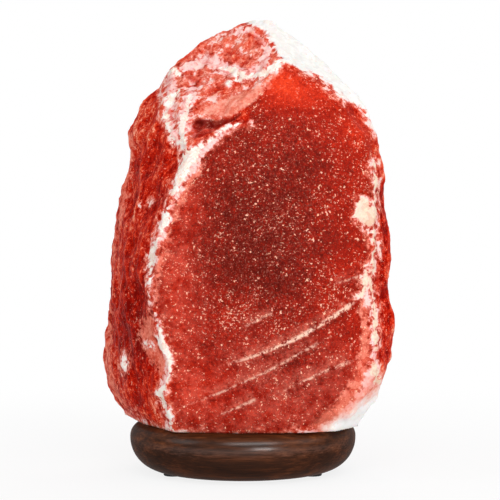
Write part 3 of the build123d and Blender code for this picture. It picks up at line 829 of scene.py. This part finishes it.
# %% Wear on the cap, and on every edge of the sides and the back
cap_cover = step_up(noted("cap") + 2 * middle, -1.0, 1.5) * facing_wire
cap_wear = 2.0 * middle + 1.0 * fine + 0.9 * broad + 0.22 * large_crystals
cap_mix = cap_cover * step_up(cap_wear, -0.62, 0.05)
cap_veins = cap_cover * step_up(cap_wear + 0.4 * small_crystals, 0.06, 0.40)
worn = noted("sharpness") + 0.05 * ragged + 1.2 * broad
elsewhere = 1 - facing_wire
cap_mix = larger(cap_mix, step_up(worn, 0.45, 1.00) * elsewhere)
cap_veins = larger(cap_veins, step_up(worn, 0.90, 1.25) * elsewhere)
chalk_cover = larger(chalk_cover, step_up(worn, 1.20, 1.50) * elsewhere)
not_bare = 1 - 0.85 * bare_cover
salmon_cover = larger(salmon_cover, cap_mix) * not_bare
pink_cover = larger(pink_cover, cap_veins) * not_bare

# %% The colour of each mark, and the marks laid over the red
pale_share = step_up(fine + middle + 0.4 * large_crystals, -0.3, 0.3)
cream_side = step_up(seen_across, 30, 55)
chalk_shade = blend(cream_side, paint(244, 222, 208), paint(226, 190, 164))
chalk_light = blend(cream_side, paint(252, 247, 238), paint(243, 222, 200))
chalk_colour = blend(pale_share, chalk_shade, chalk_light)
salmon_colour = blend(pale_share, paint(216, 84, 62), paint(240, 140, 118))
pink_colour = blend(pale_share, paint(232, 146, 140), paint(252, 222, 218))
lobe_colour = blend(pale_share, paint(226, 118, 96), paint(244, 160, 140))
facet_colour = blend(pale_share, paint(230, 226, 222), paint(240, 238, 235))
notch_red = blend(step_up(middle, -0.1, 0.1), paint(138, 14, 8), paint(206, 56, 40))
marks = (
    (front_haze * 0.25, paint(214, 112, 94)),
    (step_haze * 0.6, paint(226, 122, 102)),
    (salmon_cover * 0.85, salmon_colour),
    (pink_cover * 0.85, pink_colour),
    (lobe_cover * 0.85, lobe_colour),
    (step_up(corner_depth, -10.0, -2.5) * 0.7, paint(232, 122, 98)),
    (step_up(corner_depth, -4.0, 0.0) * 0.9, paint(246, 204, 192)),
    (step_up(corner_depth, -1.5, 3.0), paint(250, 248, 246)),
    (facet_cover, facet_colour),
    (chalk_cover, chalk_colour),
    (step_pale * 0.9, paint(251, 216, 192)),
    (notch_cover * 0.85, notch_red),
    # The painted shadow under the lobe.
    (painted_undercut_shadow * 0.8, paint(104, 10, 6)),
)
salt_colour = red
for cover, colour in marks:
    salt_colour = blend(cover, salt_colour, colour)
print("kinds of mark on the salt:", len(marks))

# %% Painted glints of small crystal faces
# Where two noises are both high at once, a small ragged pale fleck is painted in, as on broken
# salt: a painted highlight of a crystal face that catches the light.
sparse = clouds(salt_place, 1.6, 1.0, 0.5)
dense = clouds(place_on(salt, (1, 1, 1.2)), 1.0, 2.0, 0.6)
crowd = 0.18 * broad + 0.16 * middle - 0.012 * low_on_front
small_glints = step_up(dense + crowd + 0.08 * small_crystals, 0.630, 0.685)
large_glints = step_up(sparse + crowd + 0.10 * small_crystals, 0.710, 0.745)
painted_glints = larger(small_glints * (0.5 + 0.6 * small_crystals), large_glints)
painted_glints = painted_glints * (1 - 0.65 * step_up(noted("spot_tone"), 0.12, 0.30))
# A fine pale grain dulls the darker salt, and thins out towards the right.
grains = clouds(place_on(salt, (1, 1, 0.9)), 0.9, 2.0, 0.7)
dull_salt = 1 - step_up(noted("spot_tone"), -0.02, 0.12)
grain_cover = step_up(grains + 0.3 * crowd, 0.53, 0.66) * (flat * dull_salt)
grain_cover = grain_cover * (1 - 0.8 * step_up(seen_across, 25, 50))
salt_colour = blend(grain_cover * 0.2, salt_colour, paint(206, 128, 110))
# Painted highlights: the glints are mixed into the salt's colour.
salt_colour = blend(painted_glints * (0.45 + 0.5 * flat), salt_colour, paint(248, 190, 162))

# %% Grain, gloss and the light inside
salt_bump = bumps(0.5 + fine * 0.7 + grit * 0.5 + 0.3 * painted_glints, 0.45, 0.7)
salt.principled(
    Base_Color=salt_colour,
    Roughness=0.42,
    Specular_IOR_Level=0.01,
    Subsurface_Weight=0.2,
    Subsurface_Radius=(1.0, 0.3, 0.15),
    Subsurface_Scale=2.5 * mm,
    Normal=salt_bump,
)
salt_rock.data.materials.clear()
salt_rock.data.materials.append(salt.material)

# %% [markdown]
# ## The turned base
# The base is a disc of dark hardwood, turned on a lathe and rubbed with oil, so its end grain and
# side grain show through a thin satin coat. Hands wear a better shine on the rim's upper half,
# and
# there the colour is a little lighter too: a painted highlight.

# %% Oiled wood
wood = Finish("oiled_dark_wood")
fibre_stretch = (0.05, 0.4, 1)
band_stretch = (0.10, 0.5, 1)
shine_from = 13.5
shine_full = 18.0
wood_fibres = clouds(place_on(wood, fibre_stretch), 0.9, 5.0, 0.65)
wood_bands = clouds(place_on(wood, band_stretch), 5.0, 3.0, 0.5)
wood_height = axis_of(place_on(wood), 2)
shine_and_painted_highlight = step_up(wood_height + 8 * (wood_fibres - 0.5), shine_from, shine_full)
edge_on = wood.node("ShaderNodeLayerWeight", {}, {"Blend": 0.5}, output=1)
# Where the shine sits the colour is lifted a little: a painted highlight.
wood_colour = ramp(
    0.5 * wood_bands + 0.5 * wood_fibres + 0.03 * shine_and_painted_highlight,
    (0.30, paint(30, 14, 6)),
    (0.48, paint(54, 27, 12)),
    (0.60, paint(84, 44, 22)),
    (0.75, paint(122, 70, 38)),
)
wood.principled(
    Base_Color=wood_colour,
    Roughness=0.5,
    Specular_IOR_Level=0.02,
    Coat_Weight=(0.09 + 0.32 * shine_and_painted_highlight) * ((1 - edge_on) * (1 - edge_on)),
    Coat_Roughness=0.28,
    Coat_IOR=1.9,
    Normal=bumps(wood_fibres, 0.12, 0.5),
)


def dress(finish, *node_names):
    """Give some of the measured solids their finish."""
    for node_name in node_names:
        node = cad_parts[node_name]
        node.data.materials.clear()
        node.data.materials.append(finish.material)


dress(wood, "wood_base")

# %% [markdown]
# ## Small parts
# The clip, the screws, the lamp holder and the bulb only show when the holder is pulled down out
# of the rock, but each is made of something real. Most of them need one of two families of
# finish: metal, which is all gloss, and moulded stuff, which is all body colour.

# %% Two families of finish
def metal(name, dull, bright, roughness):
    """Bare or plated metal: two tones of one colour, and a gloss that is a little uneven."""
    finish = Finish(name)
    place = place_on(finish)
    stains = clouds(place, 2.5)
    scuffs = clouds(place, 0.3, 2.0)
    finish.principled(
        Base_Color=ramp(stains, (0.35, paint(*dull)), (0.65, paint(*bright))),
        Metallic=1.0,
        Roughness=roughness + 0.3 * (scuffs - 0.5),
        Normal=bumps(scuffs, 0.02, 0.4),
    )
    return finish


def moulded(name, shade, light, roughness, grain):
    """Plastic, rubber or glazed ceramic, with a grain of this size in millimetres."""
    finish = Finish(name)
    place = place_on(finish)
    pores = clouds(place, grain, 2.0)
    mottle = 0.6 * clouds(place, 6.0) + 0.4 * pores
    finish.principled(
        Base_Color=ramp(mottle, (0.4, paint(*shade)), (0.6, paint(*light))),
        Roughness=roughness + 0.2 * (pores - 0.5),
        Normal=bumps(pores, 0.03, 0.4),
    )
    return finish


# %% What each small part is made of
zinc_steel = metal("zinc_plated_steel", (150, 152, 156), (196, 198, 202), 0.32)
spring_steel = metal("spring_steel", (112, 114, 120), (160, 162, 168), 0.30)
brass = metal("plain_brass", (176, 136, 62), (222, 184, 98), 0.28)
thread_brass = metal("threaded_brass", (168, 128, 58), (214, 176, 92), 0.34)
nickel = metal("nickel_plate", (168, 164, 156), (212, 208, 198), 0.22)
tin = metal("tin_solder", (140, 142, 146), (188, 190, 194), 0.42)
tungsten = metal("tungsten", (58, 58, 62), (92, 92, 96), 0.45)
rubber = moulded("black_rubber", (20, 20, 20), (38, 37, 36), 0.75, 0.4)
plug_plastic = moulded("plug_plastic", (142, 144, 146), (172, 174, 176), 0.5, 0.6)
holder_plastic = moulded("holder_plastic", (218, 216, 208), (236, 234, 228), 0.35, 0.8)
bush_plastic = moulded("bush_plastic", (30, 30, 32), (48, 48, 50), 0.45, 0.5)
ceramic = moulded("glazed_ceramic", (222, 216, 202), (242, 238, 228), 0.15, 0.7)
black_glass = moulded("black_glass", (14, 14, 20), (30, 30, 40), 0.12, 1.0)
dress(rubber, "feet")
dress(plug_plastic, "wall_plugs")
dress(zinc_steel, "screw_washers", "base_screws", "nipple_nut", "terminal_screws")
dress(spring_steel, "spring_clip", "lock_washer")
dress(bush_plastic, "cord_bush")
dress(holder_plastic, "holder_cap", "holder_sleeve")
dress(ceramic, "holder_insert")
dress(thread_brass, "screw_shell")
dress(brass, "centre_contact", "side_contact", "contact_rivet", "terminal_plates")
dress(tin, "cap_contact")
dress(black_glass, "cap_insulator")
dress(nickel, "lead_wires", "support_wire")
print("finishes so far:", len(bpy.data.materials))

# %% [markdown]
# The nipple is a short brass tube with a fine thread along all of its length. The grooves are a
# tenth of a millimetre deep, so they are a bump: the turn round the axis and the height together
# say where in the thread a place is.

# %% A threaded tube
nipple_finish = Finish("threaded_nipple_brass")
nipple_place = place_on(nipple_finish)
nipple_x, nipple_y, nipple_z = (axis_of(nipple_place, axis) for axis in range(3))
nipple_pitch = 1.0
nipple_turn = nipple_finish.math("ARCTAN2", nipple_y, nipple_x)
nipple_grooves = nipple_finish.math("SINE", nipple_z * (2 * pi / nipple_pitch) - nipple_turn)
nipple_stains = clouds(nipple_place, 2.0)
nipple_finish.principled(
    Base_Color=ramp(nipple_stains, (0.35, paint(172, 132, 60)), (0.65, paint(218, 180, 96))),
    Metallic=1.0,
    Roughness=0.30,
    Normal=bumps(0.5 + 0.5 * nipple_grooves, 0.25, 0.8),
)
dress(nipple_finish, "nipple")

# %% [markdown]
# The bulb's cap is thin nickel-plated brass, rolled into a round thread. Its outline is spun
# round the axis, inside and outside, and every point of the straight part is then moved out or in
# with the thread, so the wall keeps its thickness.

# %% The rolled thread of the bulb's cap
def turned_net(outline, steps):
    """A closed turned shape, from an outline of (radius, height) points in millimetres."""
    net = bmesh.new()
    corners = [net.verts.new((radius * mm, 0, height * mm)) for radius, height in outline]
    for start, end in zip(corners, corners[1:] + corners[:1]):
        net.edges.new((start, end))
    ring = net.verts[:] + net.edges[:]
    bmesh.ops.spin(
        net, geom=ring, cent=(0, 0, 0), axis=(0, 0, 1), angle=2 * pi, steps=steps, use_merge=True
    )
    bmesh.ops.recalc_face_normals(net, faces=net.faces[:])
    return net


def piece_from(net, name, finish, body, replaced=()):
    """Make a finished net a piece of the lamp."""
    for face in net.faces:
        face.smooth = True
    piece = object_from(net, name)
    piece.data.materials.append(finish.material)
    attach(piece, body)
    for node_name in replaced:
        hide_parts(node_name)


cap_low, cap_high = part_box("bulb_cap")
cap_bottom = cap_low.z / mm
cap_top = cap_high.z / mm
cap_radius = 6.45
cap_wall = 0.35
skirt_radius = 8.0
skirt_height = 4.0
skirt_slope = 1.8
shoulder_radius = 6.1
shoulder_height = 1.0
thread_pitch = 2.8
thread_depth = 0.28
thread_run_in = 1.2
thread_start = 1.6
thread_end_gap = 0.8
level_step = 0.28
cap_steps = 72
thread_bottom = cap_bottom + thread_start
thread_top = cap_top - skirt_height - thread_end_gap
cap_levels = np.arange(thread_bottom, thread_top, level_step)
cap_outside = (
    [(shoulder_radius, cap_bottom), (cap_radius, cap_bottom + shoulder_height)]
    + [(cap_radius, z) for z in cap_levels]
    + [
        (cap_radius, cap_top - skirt_height),
        (skirt_radius, cap_top - skirt_height + skirt_slope),
        (skirt_radius, cap_top),
    ]
)
cap_inside = [(radius - cap_wall, z) for radius, z in reversed(cap_outside)]
cap_net = turned_net(cap_outside + cap_inside, cap_steps)
for v in cap_net.verts:
    height = v.co.z / mm
    from_ends = min(height - thread_bottom, thread_top - height)
    share = min(max(from_ends / thread_run_in, 0), 1)
    wave = sin(2 * pi * height / thread_pitch - atan2(v.co.y, v.co.x))
    radius = v.co.xy.length
    v.co.xy *= (radius + thread_depth * share * wave * mm) / radius
piece_from(cap_net, "threaded_bulb_cap", nickel, "bulb", ["bulb_cap"])
print("thread turns:", round((thread_top - thread_bottom) / thread_pitch, 1))

# %% [markdown]
# The filament is a wire that is wound into a fine coil. A ring of the wire's thickness is spun
# round a straight line while it moves along it, and the straight coil is then bent up to the
# drooping arc that the solid has.

# %% The coiled filament
coil_radius = 0.20
coil_wire = 0.05
coil_pitch = 0.30
coil_half_length = 5.5
coil_rise = 3.0
coil_z = 73.0
coil_turns = round(2 * coil_half_length / coil_pitch)
coil_steps = 10
coil_sides = 6
coil_start = Vector((-coil_half_length, 0, coil_radius)) * mm
coil_net = bmesh.new()
bmesh.ops.create_circle(
    coil_net, segments=coil_sides, radius=coil_wire * mm, matrix=Matrix.Rotation(pi / 2, 4, "X")
)
bmesh.ops.translate(coil_net, verts=coil_net.verts, vec=coil_start)
bmesh.ops.spin(
    coil_net,
    geom=coil_net.verts[:] + coil_net.edges[:],
    cent=(0, 0, 0),
    axis=(1, 0, 0),
    dvec=(coil_pitch * mm / coil_steps, 0, 0),
    angle=2 * pi * coil_turns,
    steps=coil_steps * coil_turns,
)
bmesh.ops.holes_fill(coil_net, edges=[e for e in coil_net.edges if e.is_boundary], sides=8)
bmesh.ops.recalc_face_normals(coil_net, faces=coil_net.faces[:])
for v in coil_net.verts:
    across = v.co.x / (coil_half_length * mm)
    v.co.z += (coil_z + coil_rise * (1 - across * across)) * mm
piece_from(coil_net, "coiled_filament", tungsten, "bulb", ["filament"])
print("filament turns:", coil_turns)

# %% [markdown]
# The holder's cap is screwed on by hand, so its rim has small upright ribs for the fingers. One
# rib is a rounded block, and a spin that copies instead of sweeping sets the others round it.

# %% Finger ribs round the holder
holder_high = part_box("holder_cap")[1]
rib_count = 40
rib_height = 7.6
rib_width = 0.9
rib_stand = 0.35
rib_depth = 0.9
rib_edge = 0.25
rib_drop = 4.6
rib_size = Vector((rib_width, rib_depth, rib_height)) * mm
rib_out = holder_high.y - (rib_depth / 2 - rib_stand) * mm
rib_place = Vector((0, rib_out, holder_high.z - rib_drop * mm))
rib_net = bmesh.new()
bmesh.ops.create_cube(rib_net, size=1.0)
bmesh.ops.scale(rib_net, verts=rib_net.verts, vec=rib_size)
rounding = {"affect": "EDGES", "segments": 2, "profile": 0.5, "material": -1}
bmesh.ops.bevel(rib_net, geom=rib_net.edges[:], offset=rib_edge * mm, **rounding)
bmesh.ops.translate(rib_net, verts=rib_net.verts, vec=rib_place)
bmesh.ops.spin(
    rib_net,
    geom=rib_net.verts[:] + rib_net.edges[:] + rib_net.faces[:],
    cent=(0, 0, 0),
    axis=(0, 0, 1),
    angle=2 * pi * (rib_count - 1) / rib_count,
    steps=rib_count - 1,
    use_duplicate=True,
)
piece_from(rib_net, "finger_ribs", holder_plastic, "holder")
print("finger ribs:", rib_count)

# %% [markdown]
# Clear glass lets light through, and its outline shows where it turns edge on. Old bulbs aren't
# quite even, so the gloss and the colour drift a little.

# %% Clear glass
glass = Finish("clear_bulb_glass")
glass_drift = clouds(place_on(glass), 8.0)
glass.principled(
    Base_Color=ramp(glass_drift, (0.3, paint(246, 250, 248)), (0.7, paint(255, 255, 255))),
    Roughness=0.02 + 0.04 * glass_drift,
    Transmission_Weight=1.0,
    IOR=1.5,
)
dress(glass, "bulb_glass", "bulb_stem")

# %% [markdown]
# ## Light and floor
# Plain soft light: a large lamp above the camera, a low one for the shine on the wood, a weak one
# at each side, one behind for whoever walks round the lamp, and an even pale room. A gloss sees
# the front of the room dimmer than its back, so the dark wood isn't veiled with grey.

# %% The pale room
class Room(Finish):
    """The world is a graph too, so it is made with the same method."""

    def __init__(self, name):
        self.world = bpy.data.worlds.new(name)
        self.world.use_nodes = True
        self.tree = self.world.node_tree
        self.tree.nodes.clear()


def ray(finish, kind):
    """1 for what this kind of ray sees, and 0 for the others."""
    return finish.node("ShaderNodeLightPath", {}, {}, output=f"Is {kind} Ray")


def seen_directly(finish):
    """1 for what the camera, a gloss or clear glass sees, and 0 for the light that falls."""
    shiny = larger(ray(finish, "Glossy"), ray(finish, "Transmission"))
    return larger(ray(finish, "Camera"), shiny)


room_strength = 0.5
front_shine = 0.12
room = Room("pale_room")
white = (1, 1, 1, 1)
way_out = room.node("ShaderNodeTexCoord", {}, {})
towards_back = room.node("ShaderNodeSeparateXYZ", {}, {"Vector": way_out}, output=1)
behind = step_up(towards_back, 0.0, 0.7)
room_shine = larger(ray(room, "Camera"), front_shine + (1 - front_shine) * behind)
room_light = room.node("ShaderNodeBackground", {}, {"Color": white, "Strength": room_strength})
room_seen = room.node("ShaderNodeBackground", {}, {"Color": white, "Strength": room_shine})
room_layers = {0: seen_directly(room), 1: room_light, 2: room_seen}
room_mix = room.node("ShaderNodeMixShader", {}, room_layers)
room.node("ShaderNodeOutputWorld", {}, {"Surface": room_mix}, output=None)
bpy.context.scene.world = room.world
bpy.context.scene.view_settings.view_transform = "Standard"

# %% Five soft lamps
def soft_lamp(name, azimuth, height, distance, width, depth, power):
    """A lamp with a cloth front that looks at the middle of the rock. The azimuth is from the
    front to the right, in degrees, and the power is in watts."""
    data = bpy.data.lights.new(name, "AREA")
    data.shape = "RECTANGLE"
    data.size = width
    data.size_y = depth
    data.energy = power
    turn = radians(azimuth)
    slope = radians(height)
    aim = Vector((sin(turn) * cos(slope), -cos(turn) * cos(slope), sin(slope)))
    lamp = bpy.data.objects.new(name, data)
    lamp.location = look_at + distance * aim
    lamp.rotation_euler = aim.to_track_quat("Z", "Y").to_euler()
    lamp.visible_camera = False
    bpy.context.scene.collection.objects.link(lamp)


soft_lamp("key_lamp", 12, 40, 1.1, 0.9, 0.35, 5.3)
soft_lamp("low_lamp", 20, -1, 1.1, 0.34, 0.16, 2.8)
soft_lamp("right_lamp", 75, 30, 1.0, 0.5, 0.5, 0.9)
soft_lamp("left_lamp", -70, 30, 1.0, 0.5, 0.5, 1.4)
soft_lamp("back_lamp", 165, 40, 1.1, 0.9, 0.5, 3.0)

# %% The floor, greyer near the lamp
floor_half = 8.0
near_from = 0.10
near_to = 0.45
near_shade = 0.16
floor_net = bmesh.new()
bmesh.ops.create_grid(floor_net, x_segments=1, y_segments=1, size=floor_half)
floor = object_from(floor_net, "floor")
pale_floor = Finish("pale_floor")
floor_place = place_on(pale_floor)
floor_from_lamp = pale_floor.node(
    "ShaderNodeVectorMath", {"operation": "LENGTH"}, {0: floor_place}, output="Value"
)
near_lamp = 1 - step_up(floor_from_lamp, near_from, near_to)
whitened = seen_directly(pale_floor) * (1 - near_shade * near_lamp)
floor_white = pale_floor.node("ShaderNodeEmission", {}, {"Color": white, "Strength": 1.0})
floor_matt = pale_floor.node("ShaderNodeBsdfDiffuse", {}, {"Color": (0.85, 0.85, 0.85, 1)})
floor_layers = {0: whitened, 1: floor_matt, 2: floor_white}
floor_mix = pale_floor.node("ShaderNodeMixShader", {}, floor_layers)
pale_floor.feed(pale_floor.tree.nodes["Material Output"].inputs["Surface"], floor_mix)
floor.data.materials.append(pale_floor.material)
